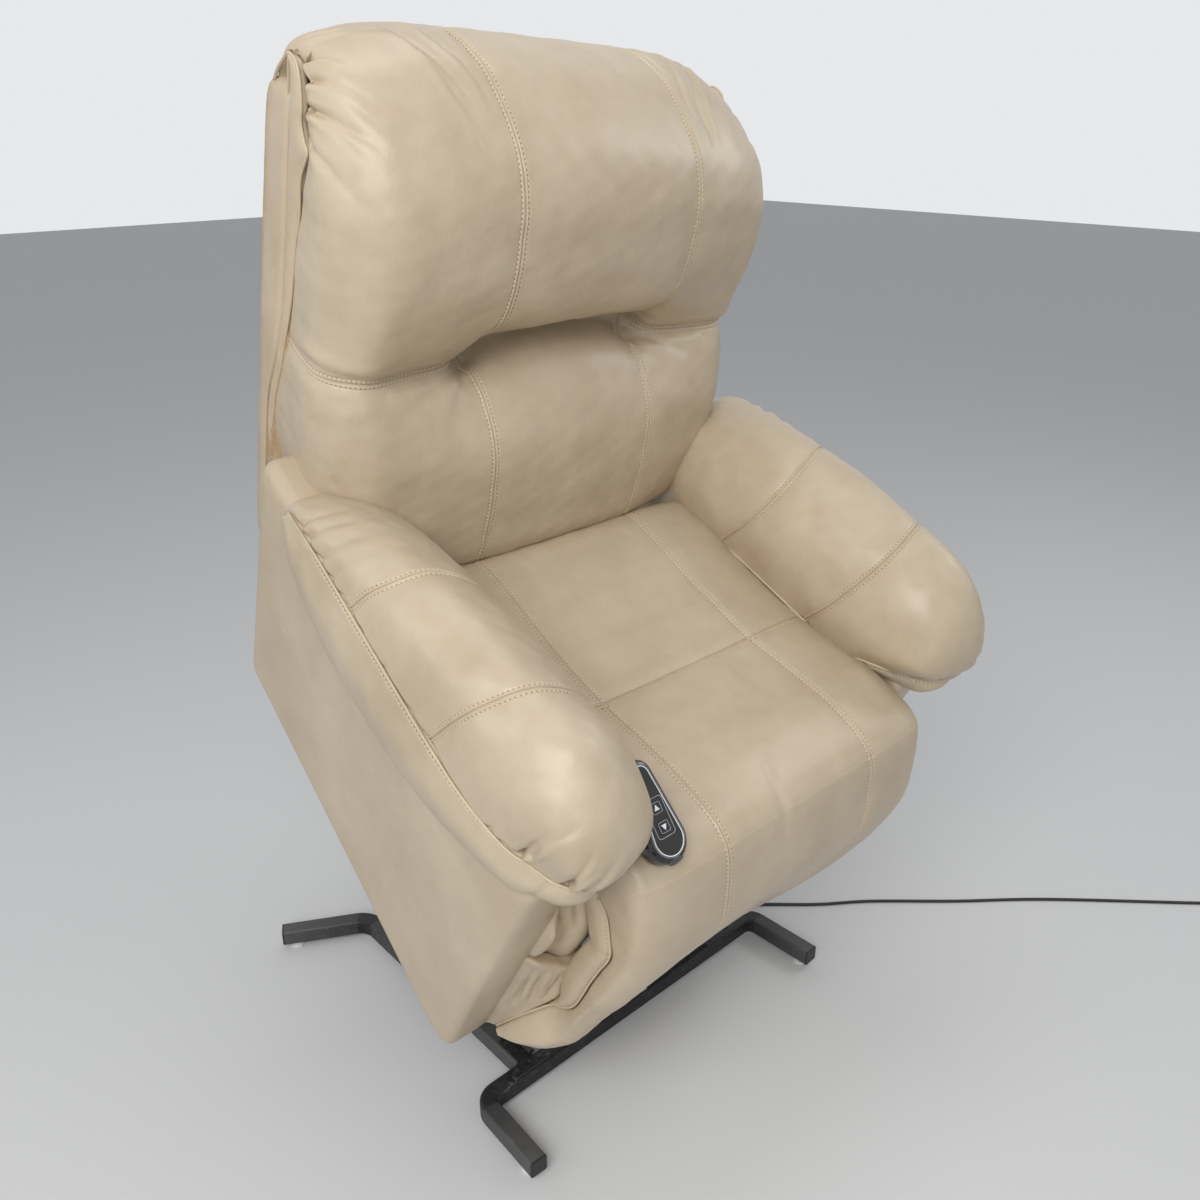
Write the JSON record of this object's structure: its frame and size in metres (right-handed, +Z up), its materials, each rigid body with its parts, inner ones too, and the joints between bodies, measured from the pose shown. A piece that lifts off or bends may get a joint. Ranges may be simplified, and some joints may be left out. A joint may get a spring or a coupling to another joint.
{
  "type": "patient recliner chair",
  "caption": "Upholstered powered lift recliner raised on its steel floor frame, with pillow arms and back, folding footrest, hand control and mains lead",
  "frame": {"origin": "on the floor under the centre of the bounding box of the chair without its mains lead", "axes": "+Z up, -Y the way the chair faces, +X the sitter's left"},
  "size_m": [1.6954, 1.3257, 1.563],
  "materials": {
    "leather": "satin",
    "black_steel": "satin",
    "zinc_steel": "satin",
    "black_plastic": "satin",
    "grey_plastic": "satin",
    "glide_chrome": "polished",
    "plywood": "matte",
    "cord_rubber": "satin"
  },
  "bodies": {
    "floor_frame": {"front_foot_tube": "black_steel", "rear_cross_tube": "black_steel", "left_side_rail": "black_steel", "right_side_rail": "black_steel", "left_gusset": "black_steel", "right_gusset": "black_steel", "left_lift_bracket": "black_steel", "right_lift_bracket": "black_steel", "left_front_end_cap": "black_plastic", "right_front_end_cap": "black_plastic", "left_rear_end_cap": "black_plastic", "right_rear_end_cap": "black_plastic", "left_front_glide": "glide_chrome", "right_front_glide": "glide_chrome", "left_rear_glide": "glide_chrome", "right_rear_glide": "glide_chrome", "actuator_bracket": "black_steel", "power_supply": "black_plastic", "mains_gland": "cord_rubber", "mains_cord": "cord_rubber", "mains_coil": "cord_rubber", "mains_plug": "cord_rubber"},
    "lift_arms": {"left_lift_arm": "black_steel", "right_lift_arm": "black_steel"},
    "front_links": {"left_front_link": "black_steel", "right_front_link": "black_steel"},
    "chair_body": {"left_side_plate": "black_steel", "right_side_plate": "black_steel", "front_cross_bar": "black_steel", "rear_cross_bar": "black_steel", "seat_deck": "plywood", "left_arm_box": "leather", "right_arm_box": "leather", "left_arm_pad": "leather", "right_arm_pad": "leather", "seat_cushion": "leather", "chaise_bridge": "leather"},
    "back": {"left_back_bracket": "black_steel", "right_back_bracket": "black_steel", "back_frame": "plywood", "outside_back": "leather", "lumbar_pillow": "leather", "headrest_pillow": "leather"},
    "footrest_links_a": {"left_footrest_link_a": "black_steel", "right_footrest_link_a": "black_steel"},
    "footrest_links_b": {"left_footrest_link_b": "black_steel", "right_footrest_link_b": "black_steel"},
    "footrest": {"left_footrest_bracket": "black_steel", "right_footrest_bracket": "black_steel", "footrest_board": "plywood", "footrest_pad": "leather"},
    "actuator": {"actuator_body": "black_plastic", "actuator_motor": "black_plastic"},
    "actuator_rod": {"actuator_rod": "zinc_steel"},
    "hand_control": {"handset": "black_plastic"},
    "up_button": {"up_button": "grey_plastic"},
    "down_button": {"down_button": "grey_plastic"}
  },
  "joints": [
    {"name": "lift", "type": "hinge", "parent": "floor_frame", "child": "lift_arms", "pos_m": [0, 0.0276, 0.252], "axis": [1, 0, 0], "range_deg": [-99.25, 0]},
    {"name": "body_tilt", "type": "hinge", "parent": "lift_arms", "child": "chair_body", "pos_m": [0, 0.13898, 0.50983], "axis": [1, 0, 0], "range_deg": [0, 63.26]},
    {"name": "front_link_swing", "type": "hinge", "parent": "floor_frame", "child": "front_links", "pos_m": [0, -0.0854, 0.199], "axis": [1, 0, 0], "range_deg": [-125.46, 0]},
    {"name": "actuator_swing", "type": "hinge", "parent": "floor_frame", "child": "actuator", "pos_m": [0, -0.0744, 0.075], "axis": [1, 0, 0], "range_deg": [-55.31, 0]},
    {"name": "actuator_stroke", "type": "slide", "parent": "actuator", "child": "actuator_rod", "axis": [0, 0.4158, 0.9095], "range_m": [-0.1546, 0]},
    {"name": "footrest", "type": "hinge", "parent": "chair_body", "child": "footrest", "pos_m": [0, -0.48189, 0.53586], "axis": [1, 0, 0], "range_deg": [-86, 0], "deforming": ["chaise_bridge"]},
    {"name": "footrest_link_fold", "type": "hinge", "parent": "chair_body", "child": "footrest_links_a", "pos_m": [0, -0.16709, 0.50748], "axis": [1, 0, 0], "range_deg": [-86, 0]},
    {"name": "footrest_link_knee", "type": "hinge", "parent": "footrest_links_a", "child": "footrest_links_b", "pos_m": [0, 0.01696, 0.40387], "axis": [1, 0, 0], "range_deg": [0, 86]},
    {"name": "recline", "type": "hinge", "parent": "chair_body", "child": "back", "pos_m": [0, 0.19579, 0.7736], "axis": [1, 0, 0], "range_deg": [-35.02, 0]},
    {"name": "handset_lift_out", "type": "slide", "parent": "chair_body", "child": "hand_control", "axis": [0, -0.7986, 0.6018], "range_m": [0, 0.15]},
    {"name": "up_press", "type": "slide", "parent": "hand_control", "child": "up_button", "axis": [0, 0.7986, -0.6018], "range_m": [0, 0.0012], "stiffness_N_per_m": 800, "springref_m": -0.0004},
    {"name": "down_press", "type": "slide", "parent": "hand_control", "child": "down_button", "axis": [0, 0.7986, -0.6018], "range_m": [0, 0.0012], "stiffness_N_per_m": 800, "springref_m": -0.0004}
  ],
  "couplings": [
    {"joint": "body_tilt", "follows": "lift", "ratio": -0.6373},
    {"joint": "front_link_swing", "follows": "lift", "ratio": 1.264},
    {"joint": "actuator_swing", "follows": "lift", "ratio": 0.5572},
    {"joint": "actuator_stroke", "follows": "lift", "m_per_rad": 0.08918},
    {"joint": "footrest_link_fold", "follows": "footrest", "ratio": 1},
    {"joint": "footrest_link_knee", "follows": "footrest", "ratio": -1},
    {"joint": "recline", "follows": "footrest", "ratio": 0.407}
  ]
}
